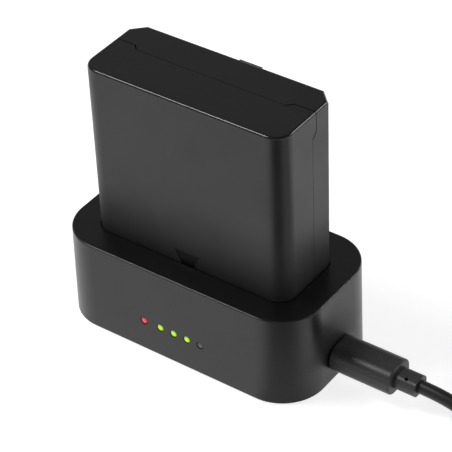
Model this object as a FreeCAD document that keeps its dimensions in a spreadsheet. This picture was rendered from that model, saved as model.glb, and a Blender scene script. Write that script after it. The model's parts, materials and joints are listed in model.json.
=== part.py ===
"""Desk charger for a flash battery, with the battery standing in it and its USB lead plugged in.

Units are millimetres. The origin lies on the table under the middle of the charger: +X points to the
end with the USB socket, -Y to the front with the row of lights, +Z up.
"""

import FreeCAD
import Part
import Sketcher
import math
import os

Vector = FreeCAD.Vector

SIZES = {
    # Charger housing: its outline is given at the top edge, and the sides flare out below it.
    "charger_length": 69.2,
    "charger_width": 35.6,
    "charger_height": 24.5,
    "charger_corner": 10.9,
    "charger_draft": 0.86,
    "charger_wall": 2.0,
    "charger_top_wall": 2.0,
    "charger_edge": 0.4,
    "mouth_bevel": 0.15,
    # Well that takes the foot of the battery.
    "well_depth": 12.4,
    "well_floor": 1.5,
    "well_wall": 1.5,
    "well_clearance": 0.2,
    # Base cover, its screws and its feet.
    "cover_thickness": 1.8,
    "cover_clearance": 0.15,
    "boss_inset_x": 6.6,
    "boss_inset_y": 6.2,
    "boss_diameter": 6.6,
    "spigot_diameter": 4.4,
    "spigot_clearance": 0.15,
    "screw_diameter": 2.0,
    "screw_clearance": 0.15,
    "screw_thread_depth": 5.2,
    "screw_head_diameter": 3.6,
    "screw_head_height": 1.3,
    "screw_tip_gap": 0.5,
    "screw_seat": 1.3,
    "head_clearance": 0.4,
    "foot_diameter": 7.8,
    "foot_clearance": 0.2,
    "foot_recess": 0.8,
    "foot_proud": 0.6,
    "foot_bevel": 0.3,
    # Circuit board and what stands on it.
    "board_standoff": 1.8,
    "board_thickness": 1.6,
    "board_clearance": 0.5,
    "inductor_size": 6.0,
    "inductor_height": 3.0,
    "inductor_x": 10.0,
    "inductor_y": 5.0,
    "chip_size": 4.0,
    "chip_height": 0.9,
    "chip_x": 0.0,
    "chip_y": 4.0,
    "capacitor_length": 3.2,
    "capacitor_width": 1.6,
    "capacitor_height": 1.6,
    "input_capacitor_x": 20.0,
    "output_capacitor_x": -10.0,
    "capacitor_y": 5.0,
    # Row of lights in the front wall.
    "led_height": 8.45,
    "led_pitch": 3.87,
    "led_first_pitch": 4.8,
    "led_last_x": 7.95,
    "led_hole_diameter": 2.0,
    "led_lens_diameter": 1.8,
    "led_lens_round": 0.3,
    "led_recess": 0.05,
    "led_body_width": 3.0,
    "led_body_depth": 2.5,
    "led_body_above": 1.35,
    "led_wall_gap": 0.1,
    # Knife contacts under the well and the clips in the battery that they enter.
    "contact_inset": 8.5,
    "contact_pitch": 5.0,
    "blade_width": 5.0,
    "blade_thickness": 0.6,
    "blade_rise": 4.5,
    "blade_clearance": 0.2,
    "blade_fit": 0.05,
    "carrier_length": 7.2,
    "carrier_width": 12.0,
    "clip_leaf": 0.3,
    "clip_height": 5.2,
    # Battery case, whose size follows from the cells in it.
    "terminal_bay": 15.2,
    "battery_forward": 0.25,
    "battery_corner": 4.4,
    "battery_chamfer": 3.2,
    "battery_wall": 1.4,
    "battery_edge": 0.7,
    "seam_offset": 1.2,
    "seam_gap": 0.1,
    "lug_step": 1.4,
    "lug_length": 5.5,
    "lug_drop": 5.0,
    "lug_gap": 0.2,
    "latch_x": 4.4,
    "latch_length": 6.15,
    "latch_proud": 0.5,
    "latch_drop": 0.43,
    "latch_land": 1.5,
    "latch_height": 6.0,
    "mark_width": 7.2,
    "mark_rise": 3.65,
    "mark_length": 8.6,
    "mark_depth": 0.3,
    # Cells and what joins them.
    "cell_diameter": 18.3,
    "cell_length": 50.0,
    "cell_gap": 0.2,
    "cell_button_diameter": 6.0,
    "cell_button_height": 1.2,
    "tab_width": 6.0,
    "tab_thickness": 0.2,
    "insulator_thickness": 0.4,
    "insulator_width": 12.0,
    "protection_gap": 1.1,
    "protection_thickness": 1.0,
    "protection_inset": 0.65,
    "protection_drop": 5.0,
    "foam_width": 12.0,
    "foam_thickness": 4.4,
    # USB socket in the right-hand end.
    "socket_width": 7.6,
    "socket_height": 2.6,
    "socket_length": 5.5,
    "socket_corner": 0.7,
    "socket_wall": 0.3,
    "socket_inset": 0.3,
    "port_clearance": 0.3,
    "tongue_base": 1.0,
    "tongue_width": 3.8,
    "tongue_thickness": 0.6,
    "tongue_length": 4.0,
    # Small plug in that socket.
    "plug_clearance": 0.08,
    "plug_wall": 0.25,
    "plug_end_gap": 0.3,
    "plug_slot_clearance": 0.1,
    "overmold_gap": 0.25,
    "overmold_length": 16.2,
    "overmold_width": 9.3,
    "overmold_height": 7.0,
    "overmold_corner": 2.9,
    "overmold_edge": 0.45,
    "overmold_face_edge": 0.2,
    "relief_length": 5.6,
    "relief_width": 5.6,
    "relief_height": 4.3,
    "relief_corner": 1.8,
    "vent_diameter": 0.9,
    "vent_from_end": 2.75,
    # Lead, folded into a hank beyond the plug and held by a tie.
    "cable_diameter": 3.3,
    "hank_lead": 48.8,
    "hank_side": 0.0,
    "hank_run": 54.0,
    "hank_inner_radius": 10.4,
    "hank_lower_turns": 2.0,
    "hank_upper_turns": 1.5,
    "hank_slack": 0.15,
    "hank_corner": 1.0,
    "tie_width": 6.0,
    "tie_thickness": 0.5,
    "tie_lap": 5.6,
    # Large plug on the far end.
    "host_width": 15.0,
    "host_height": 8.4,
    "host_length": 19.0,
    "host_corner": 2.0,
    "host_edge": 0.8,
    "host_relief_length": 7.0,
    "host_relief_width": 6.0,
    "host_relief_height": 5.0,
    "host_relief_corner": 1.8,
    "host_shell_width": 12.0,
    "host_shell_height": 4.5,
    "host_shell_length": 12.0,
    "host_shell_wall": 0.3,
    "host_shell_corner": 0.5,
    "host_tongue_thickness": 1.9,
    "host_window": 2.4,
    "host_window_spacing": 5.6,
    "host_window_from_tip": 5.2,
}

# Heights above the table, from the feet up.
RIM_Z = "Sizes.foot_proud"
TOP_Z = f"({RIM_Z} + Sizes.charger_height)"
PLATE_Z = f"({TOP_Z} - Sizes.charger_top_wall)"
WELL_Z = f"({TOP_Z} - Sizes.well_depth)"
WELL_UNDER_Z = f"({WELL_Z} - Sizes.well_floor)"
COVER_TOP_Z = f"({RIM_Z} + Sizes.cover_thickness)"
BOARD_Z = f"({COVER_TOP_Z} + Sizes.board_standoff)"
BOARD_TOP_Z = f"({BOARD_Z} + Sizes.board_thickness)"
RECESS_Z = f"({RIM_Z} + Sizes.foot_recess)"
HEAD_SEAT_Z = f"({BOARD_Z} - Sizes.screw_seat)"
SCREW_TIP_Z = f"({BOARD_Z} + Sizes.screw_thread_depth)"
LED_Z = f"({RIM_Z} + Sizes.led_height)"

# Half sizes of the charger's inside, which is straight.
INSIDE_X = "(Sizes.charger_length / 2 - Sizes.charger_wall)"
INSIDE_Y = "(Sizes.charger_width / 2 - Sizes.charger_wall)"
INSIDE_CORNER = "(Sizes.charger_corner - Sizes.charger_wall)"

# Screws, bosses and feet share four places.
BOSS_X = f"({INSIDE_X} - Sizes.boss_inset_x)"
BOSS_Y = f"({INSIDE_Y} - Sizes.boss_inset_y)"

# Battery case: two cells side by side beside the bay of the terminals.
BATTERY_DEPTH = "(Sizes.cell_diameter + 2 * Sizes.cell_gap + 2 * Sizes.battery_wall)"
BATTERY_LENGTH = f"({BATTERY_DEPTH} + Sizes.cell_diameter + Sizes.terminal_bay)"
CELL_SEAT = "(2 * Sizes.tab_thickness + Sizes.insulator_thickness)"
CELL_COVER = "(Sizes.tab_thickness + Sizes.foam_thickness)"
BATTERY_HEIGHT = f"(Sizes.cell_length + {CELL_SEAT} + {CELL_COVER} + 2 * Sizes.battery_wall)"
BATTERY_X = f"({BATTERY_LENGTH} / 2)"
BATTERY_FRONT = f"(-Sizes.battery_forward - {BATTERY_DEPTH} / 2)"
BATTERY_BACK = f"(-Sizes.battery_forward + {BATTERY_DEPTH} / 2)"
BATTERY_TOP_Z = f"({WELL_Z} + {BATTERY_HEIGHT})"
BATTERY_FLOOR_Z = f"({WELL_Z} + Sizes.battery_wall)"
BATTERY_ROOF_Z = f"({BATTERY_TOP_Z} - Sizes.battery_wall)"
SEAM_Y = "(-Sizes.battery_forward + Sizes.seam_offset)"
LUG_X = f"({BATTERY_X} - Sizes.lug_length)"
LUG_Z = f"({BATTERY_TOP_Z} - Sizes.lug_drop)"

# Cells: the right-hand one stands against the case wall, the other beside it.
CELL_RADIUS = "(Sizes.cell_diameter / 2)"
CELL_RIGHT_X = f"({BATTERY_X} - Sizes.battery_wall - Sizes.cell_gap - {CELL_RADIUS})"
CELL_LEFT_X = f"({CELL_RIGHT_X} - Sizes.cell_diameter - Sizes.cell_gap)"
CELL_Y = "(-Sizes.battery_forward)"
CELL_Z = f"({BATTERY_FLOOR_Z} + {CELL_SEAT})"
CELL_TOP_Z = f"({CELL_Z} + Sizes.cell_length)"
PROTECTION_X = f"({CELL_LEFT_X} - {CELL_RADIUS} - Sizes.protection_gap)"
CLIP_TOP_Z = f"({BATTERY_FLOOR_Z} + Sizes.clip_height)"

# USB socket and the plug in it share one axis along X.
USB_Z = f"({BOARD_TOP_Z} + Sizes.socket_height / 2)"
SOCKET_MOUTH_X = "(Sizes.charger_length / 2 - Sizes.socket_inset)"
SOCKET_BACK_X = f"({SOCKET_MOUTH_X} - Sizes.socket_length)"
SOCKET_BORE_WIDTH = "(Sizes.socket_width - 2 * Sizes.socket_wall)"
SOCKET_BORE_HEIGHT = "(Sizes.socket_height - 2 * Sizes.socket_wall)"
SOCKET_BORE_CORNER = "(Sizes.socket_corner - Sizes.socket_wall)"
PLUG_WIDTH = f"({SOCKET_BORE_WIDTH} - 2 * Sizes.plug_clearance)"
PLUG_HEIGHT = f"({SOCKET_BORE_HEIGHT} - 2 * Sizes.plug_clearance)"
PLUG_TIP_X = f"({SOCKET_BACK_X} + Sizes.tongue_base + Sizes.plug_end_gap)"
FLARE_X = f"(Sizes.charger_length / 2 + ({TOP_Z} - {USB_Z}) * tan(Sizes.charger_draft))"
OVERMOLD_X = f"({FLARE_X} + Sizes.overmold_gap)"
RELIEF_X = f"({OVERMOLD_X} + Sizes.overmold_length)"
CABLE_X = f"({RELIEF_X} + Sizes.relief_length)"

# Hank: round folds about two centres, joined by straight runs. The lead winds inwards on the table, climbs
# at the innermost turn, winds outwards on top and leaves along the back towards the charger.
HANK_OUTER_RADIUS = "(Sizes.hank_inner_radius + Sizes.hank_lower_turns * Sizes.cable_diameter)"
HANK_EXIT_RADIUS = "(Sizes.hank_inner_radius + Sizes.hank_upper_turns * Sizes.cable_diameter)"
HANK_RIM = f"({HANK_OUTER_RADIUS} + Sizes.cable_diameter / 2 + Sizes.hank_slack)"
HANK_EYE = "(Sizes.hank_inner_radius - Sizes.cable_diameter / 2 - Sizes.hank_slack)"
HANK_HEIGHT = "(2 * Sizes.cable_diameter + 2 * Sizes.hank_slack)"
HANK_TOP_Z = f"({HANK_HEIGHT} + Sizes.tie_thickness)"
HANK_ENTRY = f"(sqrt({HANK_RIM}^2 - ({HANK_OUTER_RADIUS} - Sizes.cable_diameter / 2)^2) + Sizes.hank_slack)"
HANK_EXIT = f"(sqrt({HANK_RIM}^2 - ({HANK_EXIT_RADIUS} - Sizes.host_relief_width / 2)^2) + Sizes.hank_slack)"
HANK_START_X = f"({CABLE_X} + Sizes.hank_lead)"
HANK_NEAR_X = f"({HANK_START_X} + {HANK_ENTRY})"
HANK_FAR_X = f"({HANK_NEAR_X} + Sizes.hank_run)"
HANK_ENTRY_Y = f"(Sizes.hank_side - {HANK_OUTER_RADIUS})"
HANK_ENTRY_Z = "(Sizes.tie_thickness + Sizes.hank_slack + Sizes.cable_diameter / 2)"

# Large plug, lying on the table in line with the run that leaves the hank.
HOST_X = f"({HANK_NEAR_X} - {HANK_EXIT})"
HOST_Y = f"(Sizes.hank_side + {HANK_EXIT_RADIUS})"
HOST_Z = "(Sizes.host_height / 2)"
HOST_BODY_X = f"({HOST_X} - Sizes.host_relief_length)"
HOST_FACE_X = f"({HOST_BODY_X} - Sizes.host_length)"

doc = FreeCAD.newDocument("flash_battery_charger")
sheet = doc.addObject("Spreadsheet::Sheet", "Sizes")
for row, (alias, number) in enumerate(SIZES.items(), start=1):
    sheet.set(f"A{row}", alias)
    sheet.set(f"B{row}", str(number))
    sheet.setAlias(f"B{row}", alias)
doc.recompute()

PARTS = []
# How closely an edge has to lie in a plane to be picked there.
SAME_PLACE = 1e-4


def value(expression):
    """The number that an expression of sheet cells has now."""
    return float(sheet.evalExpression(expression))


def keep(feature, label):
    """Name a finished sub-part and list it for export."""
    feature.Label = label
    PARTS.append(feature)
    return feature


def new_body(name):
    return doc.addObject("PartDesign::Body", name)


def new_sketch(body, role, offset="0"):
    """A sketch on one of the body's own origin planes, moved along that plane's normal."""
    sketch = body.newObject("Sketcher::SketchObject", f"{body.Name}_sketch")
    plane = next(item for item in body.Origin.OriginFeatures if item.Role == role)
    sketch.AttachmentSupport = (plane, [""])
    sketch.MapMode = "FlatFace"
    sketch.setExpression("AttachmentOffset.Base.z", offset)
    return sketch


def bind(sketch, kind, geometry, expression):
    """Add a dimension to a sketch and bind it to the sheet."""
    index = sketch.addConstraint(Sketcher.Constraint(kind, *geometry, value(expression)))
    sketch.renameConstraint(index, f"size{index}")
    sketch.setExpression(f"Constraints.size{index}", expression)


def bind_point(sketch, geometry, point, x=None, y=None):
    """Place one end of a sketch line by its distances from the sketch's origin."""
    if x is not None:
        bind(sketch, "DistanceX", (-1, 1, geometry, point), x)
    if y is not None:
        bind(sketch, "DistanceY", (-1, 1, geometry, point), y)


def add_line(sketch, start, end):
    return sketch.addGeometry(Part.LineSegment(Vector(*start, 0), Vector(*end, 0)))


def add_arc(sketch, centre, radius, start_degrees, end_degrees):
    circle = Part.Circle(Vector(*centre, 0), Vector(0, 0, 1), radius)
    angles = (math.radians(start_degrees), math.radians(end_degrees))
    return sketch.addGeometry(Part.ArcOfCircle(circle, *angles))


def join_smoothly(sketch, first, second):
    sketch.addConstraint(Sketcher.Constraint("Tangent", first, 2, second, 1))


def polygon(sketch, corners):
    """A closed outline of straight lines through corners given as expressions."""
    places = [(value(x), value(y)) for x, y in corners]
    lines = [add_line(sketch, place, places[(i + 1) % len(places)]) for i, place in enumerate(places)]
    for i, line in enumerate(lines):
        sketch.addConstraint(Sketcher.Constraint("Coincident", line, 2, lines[(i + 1) % len(lines)], 1))
    for line, (x, y) in zip(lines, corners):
        bind_point(sketch, line, 1, x, y)


def rectangle(sketch, left, right, bottom, top):
    polygon(sketch, [(left, bottom), (right, bottom), (right, top), (left, top)])


def rounded_rectangle(sketch, width, height, radius, centre_x="0", centre_y="0"):
    """A rectangle with four equal round corners."""
    left, right = f"{centre_x} - {width} / 2", f"{centre_x} + {width} / 2"
    bottom, top = f"{centre_y} - {height} / 2", f"{centre_y} + {height} / 2"
    x0, x1, y0, y1, r = (value(size) for size in (left, right, bottom, top, radius))
    south = add_line(sketch, (x0 + r, y0), (x1 - r, y0))
    east = add_line(sketch, (x1, y0 + r), (x1, y1 - r))
    north = add_line(sketch, (x1 - r, y1), (x0 + r, y1))
    west = add_line(sketch, (x0, y1 - r), (x0, y0 + r))
    arcs = [
        add_arc(sketch, (x1 - r, y0 + r), r, 270, 360),
        add_arc(sketch, (x1 - r, y1 - r), r, 0, 90),
        add_arc(sketch, (x0 + r, y1 - r), r, 90, 180),
        add_arc(sketch, (x0 + r, y0 + r), r, 180, 270),
    ]
    sides = [south, east, north, west]
    for i, arc in enumerate(arcs):
        join_smoothly(sketch, sides[i], arc)
        join_smoothly(sketch, arc, sides[(i + 1) % 4])
        if i:
            sketch.addConstraint(Sketcher.Constraint("Equal", arcs[0], arc))
    for side in (south, north):
        sketch.addConstraint(Sketcher.Constraint("Horizontal", side))
    for side in (east, west):
        sketch.addConstraint(Sketcher.Constraint("Vertical", side))
    bind(sketch, "Radius", (arcs[0],), radius)
    bind_point(sketch, south, 1, y=bottom)
    bind_point(sketch, east, 1, x=right)
    bind_point(sketch, north, 1, y=top)
    bind_point(sketch, west, 1, x=left)


def slot_outline(sketch, radius):
    """Two half rounds about the hank's centres, joined by its runs."""
    near, far, side, r = (value(size) for size in (HANK_NEAR_X, HANK_FAR_X, "Sizes.hank_side", radius))
    front = add_line(sketch, (near, side - r), (far, side - r))
    right = add_arc(sketch, (far, side), r, -90, 90)
    back = add_line(sketch, (far, side + r), (near, side + r))
    left = add_arc(sketch, (near, side), r, 90, 270)
    ring = [front, right, back, left]
    for i, piece in enumerate(ring):
        join_smoothly(sketch, piece, ring[(i + 1) % 4])
    sketch.addConstraint(Sketcher.Constraint("Equal", right, left))
    sketch.addConstraint(Sketcher.Constraint("Horizontal", front))
    bind_point(sketch, front, 1, HANK_NEAR_X, f"Sizes.hank_side - {radius}")
    bind_point(sketch, front, 2, x=HANK_FAR_X)
    bind_point(sketch, back, 1, y=f"Sizes.hank_side + {radius}")


def battery_outline(sketch, grow="0"):
    """Plan of the battery, larger all round by grow: round corners in front, bevelled ones behind."""
    side, radius = f"({BATTERY_X} + {grow})", f"(Sizes.battery_corner + {grow})"
    front, back = f"({BATTERY_FRONT} - {grow})", f"({BATTERY_BACK} + {grow})"
    bevel = f"(Sizes.battery_chamfer + {grow} * (2 - sqrt(2)))"
    a, f, b, r, c = (value(size) for size in (side, front, back, radius, bevel))
    south = add_line(sketch, (r - a, f), (a - r, f))
    right_round = add_arc(sketch, (a - r, f + r), r, 270, 360)
    east = add_line(sketch, (a, f + r), (a, b - c))
    right_bevel = add_line(sketch, (a, b - c), (a - c, b))
    north = add_line(sketch, (a - c, b), (c - a, b))
    left_bevel = add_line(sketch, (c - a, b), (-a, b - c))
    west = add_line(sketch, (-a, b - c), (-a, f + r))
    left_round = add_arc(sketch, (r - a, f + r), r, 180, 270)
    for first, second in ((south, right_round), (right_round, east), (west, left_round), (left_round, south)):
        join_smoothly(sketch, first, second)
    for first, second in ((east, right_bevel), (right_bevel, north), (north, left_bevel), (left_bevel, west)):
        sketch.addConstraint(Sketcher.Constraint("Coincident", first, 2, second, 1))
    for line in (south, north):
        sketch.addConstraint(Sketcher.Constraint("Horizontal", line))
    for line in (east, west):
        sketch.addConstraint(Sketcher.Constraint("Vertical", line))
    sketch.addConstraint(Sketcher.Constraint("Equal", right_round, left_round))
    bind(sketch, "Radius", (right_round,), radius)
    bind_point(sketch, south, 1, y=front)
    bind_point(sketch, east, 2, side, f"{back} - {bevel}")
    bind_point(sketch, north, 1, f"{side} - {bevel}", back)
    bind_point(sketch, north, 2, x=f"{bevel} - {side}")
    bind_point(sketch, west, 1, f"-{side}", f"{back} - {bevel}")


def circles(sketch, centres, diameter):
    """Equal circles at centres given as expressions."""
    for x, y in centres:
        centre = Vector(value(x), value(y), 0)
        circle = sketch.addGeometry(Part.Circle(centre, Vector(0, 0, 1), value(diameter) / 2))
        bind(sketch, "Diameter", (circle,), diameter)
        bind_point(sketch, circle, 3, x, y)


def extrude(body, kind, sketch, length, forward, taper="0"):
    """Pad or Pocket a sketch along its normal, or against it where forward is false."""
    feature = body.newObject(f"PartDesign::{kind}", f"{body.Name}_{kind.lower()}")
    feature.Profile = sketch
    feature.setExpression("Length", length)
    feature.setExpression("TaperAngle", taper)
    feature.Reversed = forward if kind == "Pocket" else not forward
    return feature


def pad(body, sketch, length, forward=True, taper="0"):
    return extrude(body, "Pad", sketch, length, forward, taper)


def pocket(body, sketch, length, forward=True):
    """Cut a sketch out of its body, and stop if nothing came off."""
    doc.recompute()
    before = body.Shape.Volume
    feature = extrude(body, "Pocket", sketch, length, forward)
    doc.recompute()
    if body.Shape.Volume >= before:
        raise RuntimeError(f"{feature.Name} cuts nothing")
    return feature


def soften(body, kind, size, chosen):
    """Fillet or Chamfer the edges of a body's last feature that chosen picks."""
    doc.recompute()
    base = body.Tip
    names = [f"Edge{i}" for i, edge in enumerate(base.Shape.Edges, start=1) if chosen(edge)]
    feature = body.newObject(f"PartDesign::{kind}", f"{body.Name}_{kind.lower()}")
    feature.Base = (base, names)
    feature.setExpression("Radius" if kind == "Fillet" else "Size", size)
    return feature


def level_at(height):
    """A test for edges that lie flat at one height."""
    z = value(height)
    return lambda edge: max(abs(edge.BoundBox.ZMin - z), abs(edge.BoundBox.ZMax - z)) < SAME_PLACE


def across_at(place):
    """A test for edges that lie in one plane across the X axis."""
    x = value(place)
    return lambda edge: max(abs(edge.BoundBox.XMin - x), abs(edge.BoundBox.XMax - x)) < SAME_PLACE


def block(name, x, y, z, length, width, height):
    """A plain box by its lowest corner and its sizes along X, Y and Z."""
    box = doc.addObject("Part::Box", name)
    for axis, place in zip("xyz", (x, y, z)):
        box.setExpression(f"Placement.Base.{axis}", place)
    for side, size in zip(("Length", "Width", "Height"), (length, width, height)):
        box.setExpression(side, size)
    return box


def upright_cylinder(name, x, y, z, diameter, height):
    cylinder = doc.addObject("Part::Cylinder", name)
    for axis, place in zip("xyz", (x, y, z)):
        cylinder.setExpression(f"Placement.Base.{axis}", place)
    cylinder.setExpression("Radius", f"{diameter} / 2")
    cylinder.setExpression("Height", height)
    return cylinder


def combine(kind, name, shapes):
    joined = doc.addObject(f"Part::{kind}", name)
    if kind == "Compound":
        joined.Links = shapes
    else:
        joined.Shapes = shapes
    return joined


CORNERS = [(f"{x}{BOSS_X}", f"{y}{BOSS_Y}") for x, y in (("-", "-"), ("", "-"), ("", ""), ("-", ""))]
CORNER_NAMES = ("front_left", "front_right", "back_right", "back_left")
LED_NAMES = ("led_unlit", "led_green_3", "led_green_2", "led_green_1", "led_red")
LED_X = [f"(Sizes.led_last_x - {i} * Sizes.led_pitch)" for i in range(4)]
LED_X.append(f"({LED_X[3]} - Sizes.led_first_pitch)")
CONTACTS = {"positive": "-Sizes.contact_pitch", "sense": "0", "negative": "Sizes.contact_pitch"}
CONTACT_X = f"(Sizes.contact_inset - {BATTERY_X})"


def contact_slots(sketch, length, width):
    """Three slots in a row, one over each knife contact."""
    for y in CONTACTS.values():
        rectangle(
            sketch,
            f"{CONTACT_X} - {length} / 2",
            f"{CONTACT_X} + {length} / 2",
            f"{y} - {width} / 2",
            f"{y} + {width} / 2",
        )


def make_charger_housing():
    """One-piece moulding: flared walls, top plate, the battery's well and the screw bosses under it."""
    body = new_body("charger_housing")
    outline = new_sketch(body, "XY_Plane", TOP_Z)
    rounded_rectangle(outline, "Sizes.charger_length", "Sizes.charger_width", "Sizes.charger_corner")
    pad(body, outline, "Sizes.charger_height", forward=False, taper="Sizes.charger_draft")
    soften(body, "Fillet", "Sizes.charger_edge", level_at(TOP_Z))

    inside = new_sketch(body, "XY_Plane", RIM_Z)
    rounded_rectangle(inside, f"(2 * {INSIDE_X})", f"(2 * {INSIDE_Y})", INSIDE_CORNER)
    pocket(body, inside, f"{PLATE_Z} - {RIM_Z}")

    well_block = new_sketch(body, "XY_Plane", WELL_UNDER_Z)
    battery_outline(well_block, "(Sizes.well_clearance + Sizes.well_wall)")
    pad(body, well_block, f"{PLATE_Z} - {WELL_UNDER_Z}")
    well = new_sketch(body, "XY_Plane", TOP_Z)
    battery_outline(well, "Sizes.well_clearance")
    pocket(body, well, "Sizes.well_depth", forward=False)
    soften(body, "Chamfer", "Sizes.mouth_bevel", is_mouth_edge)

    bosses = new_sketch(body, "XY_Plane", BOARD_TOP_Z)
    circles(bosses, CORNERS, "Sizes.boss_diameter")
    pad(body, bosses, f"{WELL_UNDER_Z} - {BOARD_TOP_Z}")
    spigots = new_sketch(body, "XY_Plane", BOARD_TOP_Z)
    circles(spigots, CORNERS, "Sizes.spigot_diameter")
    pad(body, spigots, "Sizes.board_thickness - Sizes.spigot_clearance", forward=False)
    pilots = new_sketch(body, "XY_Plane", BOARD_Z)
    circles(pilots, CORNERS, "Sizes.screw_diameter")
    pocket(body, pilots, "Sizes.screw_thread_depth + Sizes.screw_tip_gap")

    blade_holes = new_sketch(body, "XY_Plane", WELL_Z)
    contact_slots(
        blade_holes,
        "(Sizes.blade_width + 2 * Sizes.blade_clearance)",
        "(Sizes.blade_thickness + 2 * Sizes.blade_clearance)",
    )
    pocket(body, blade_holes, "Sizes.well_floor", forward=False)

    led_holes = new_sketch(body, "XZ_Plane", INSIDE_Y)
    circles(led_holes, [(x, LED_Z) for x in LED_X], "Sizes.led_hole_diameter")
    pocket(body, led_holes, "2 * Sizes.charger_wall")

    port = new_sketch(body, "YZ_Plane", INSIDE_X)
    rounded_rectangle(
        port,
        "(Sizes.socket_width + 2 * Sizes.port_clearance)",
        "(Sizes.socket_height + 2 * Sizes.port_clearance)",
        "(Sizes.socket_corner + Sizes.port_clearance)",
        centre_y=USB_Z,
    )
    pocket(body, port, "2 * Sizes.charger_wall")
    keep(body, "charger_housing")


def is_mouth_edge(edge):
    """Picks the edges round the mouth of the well, which lie inside the charger's rounded top edge."""
    box = edge.BoundBox
    front = value(f"{BATTERY_FRONT} - 2 * Sizes.well_clearance")
    back = value(f"{BATTERY_BACK} + 2 * Sizes.well_clearance")
    return level_at(TOP_Z)(edge) and front < box.YMin and box.YMax < back


def make_base_cover():
    """Plate set into the bottom of the housing, with a post round each screw and a recess for each foot."""
    body = new_body("base_cover")
    plate = new_sketch(body, "XY_Plane", RIM_Z)
    rounded_rectangle(
        plate,
        f"(2 * ({INSIDE_X} - Sizes.cover_clearance))",
        f"(2 * ({INSIDE_Y} - Sizes.cover_clearance))",
        f"({INSIDE_CORNER} - Sizes.cover_clearance)",
    )
    pad(body, plate, "Sizes.cover_thickness")
    posts = new_sketch(body, "XY_Plane", COVER_TOP_Z)
    circles(posts, CORNERS, "Sizes.boss_diameter")
    pad(body, posts, "Sizes.board_standoff")
    recesses = new_sketch(body, "XY_Plane", RIM_Z)
    circles(recesses, CORNERS, "(Sizes.foot_diameter + 2 * Sizes.foot_clearance)")
    pocket(body, recesses, "Sizes.foot_recess")
    counterbores = new_sketch(body, "XY_Plane", RIM_Z)
    circles(counterbores, CORNERS, "(Sizes.screw_head_diameter + 2 * Sizes.head_clearance)")
    pocket(body, counterbores, f"{HEAD_SEAT_Z} - {RIM_Z}")
    holes = new_sketch(body, "XY_Plane", RIM_Z)
    circles(holes, CORNERS, "(Sizes.screw_diameter + 2 * Sizes.screw_clearance)")
    pocket(body, holes, f"{BOARD_Z} - {RIM_Z}")
    keep(body, "base_cover")


def make_screws_and_feet():
    """Four screws through the cover into the bosses, each under a rubber foot."""
    screws = []
    for name, (x, y) in zip(CORNER_NAMES, CORNERS):
        head = upright_cylinder(
            f"screw_head_{name}",
            x,
            y,
            f"{HEAD_SEAT_Z} - Sizes.screw_head_height",
            "Sizes.screw_head_diameter",
            "Sizes.screw_head_height",
        )
        shank = upright_cylinder(
            f"screw_shank_{name}", x, y, HEAD_SEAT_Z, "Sizes.screw_diameter", f"{SCREW_TIP_Z} - {HEAD_SEAT_Z}"
        )
        screws.append(combine("MultiFuse", f"screw_{name}", [head, shank]))
        foot = new_body(f"foot_{name}")
        outline = new_sketch(foot, "XY_Plane")
        circles(outline, [(x, y)], "Sizes.foot_diameter")
        pad(foot, outline, RECESS_Z)
        soften(foot, "Chamfer", "Sizes.foot_bevel", level_at("0"))
        keep(foot, f"foot_{name}")
    keep(combine("Compound", "cover_screws", screws), "cover_screws")


def make_circuit_board():
    """Board held between the cover's posts and the housing's bosses, with the charging parts on it."""
    body = new_body("circuit_board")
    outline = new_sketch(body, "XY_Plane", BOARD_Z)
    rounded_rectangle(
        outline,
        f"(2 * ({INSIDE_X} - Sizes.board_clearance))",
        f"(2 * ({INSIDE_Y} - Sizes.board_clearance))",
        f"({INSIDE_CORNER} - Sizes.board_clearance)",
    )
    pad(body, outline, "Sizes.board_thickness")
    holes = new_sketch(body, "XY_Plane", BOARD_Z)
    circles(holes, CORNERS, "(Sizes.spigot_diameter + 2 * Sizes.spigot_clearance)")
    pocket(body, holes, "Sizes.board_thickness")
    keep(body, "circuit_board")

    inductor = block(
        "charge_inductor",
        "Sizes.inductor_x - Sizes.inductor_size / 2",
        "Sizes.inductor_y - Sizes.inductor_size / 2",
        BOARD_TOP_Z,
        "Sizes.inductor_size",
        "Sizes.inductor_size",
        "Sizes.inductor_height",
    )
    keep(inductor, "charge_inductor")
    chip = block(
        "controller_chip",
        "Sizes.chip_x - Sizes.chip_size / 2",
        "Sizes.chip_y - Sizes.chip_size / 2",
        BOARD_TOP_Z,
        "Sizes.chip_size",
        "Sizes.chip_size",
        "Sizes.chip_height",
    )
    keep(chip, "controller_chip")
    for name in ("input_capacitor", "output_capacitor"):
        capacitor = block(
            name,
            f"Sizes.{name}_x - Sizes.capacitor_width / 2",
            "Sizes.capacitor_y - Sizes.capacitor_length / 2",
            BOARD_TOP_Z,
            "Sizes.capacitor_width",
            "Sizes.capacitor_length",
            "Sizes.capacitor_height",
        )
        keep(capacitor, name)


def make_leds():
    """Lights standing on the board, each with a round lens that reaches into its hole in the front wall."""
    face = f"({INSIDE_Y} - Sizes.led_wall_gap)"
    wall_face = f"(Sizes.charger_width / 2 + ({TOP_Z} - {LED_Z}) * tan(Sizes.charger_draft))"
    for name, x in zip(LED_NAMES, LED_X):
        body = new_body(name)
        foot = new_sketch(body, "XY_Plane", BOARD_TOP_Z)
        rectangle(
            foot,
            f"{x} - Sizes.led_body_width / 2",
            f"{x} + Sizes.led_body_width / 2",
            f"-{face}",
            f"Sizes.led_body_depth - {face}",
        )
        pad(body, foot, f"{LED_Z} + Sizes.led_body_above - {BOARD_TOP_Z}")
        lens = new_sketch(body, "XZ_Plane", face)
        circles(lens, [(x, LED_Z)], "Sizes.led_lens_diameter")
        pad(body, lens, f"{wall_face} - Sizes.led_recess - {face}")
        doc.recompute()
        tip = body.Shape.BoundBox.YMin
        soften(body, "Fillet", "Sizes.led_lens_round", lambda edge: edge.BoundBox.YMax < tip + SAME_PLACE)
        keep(body, name)


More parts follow.
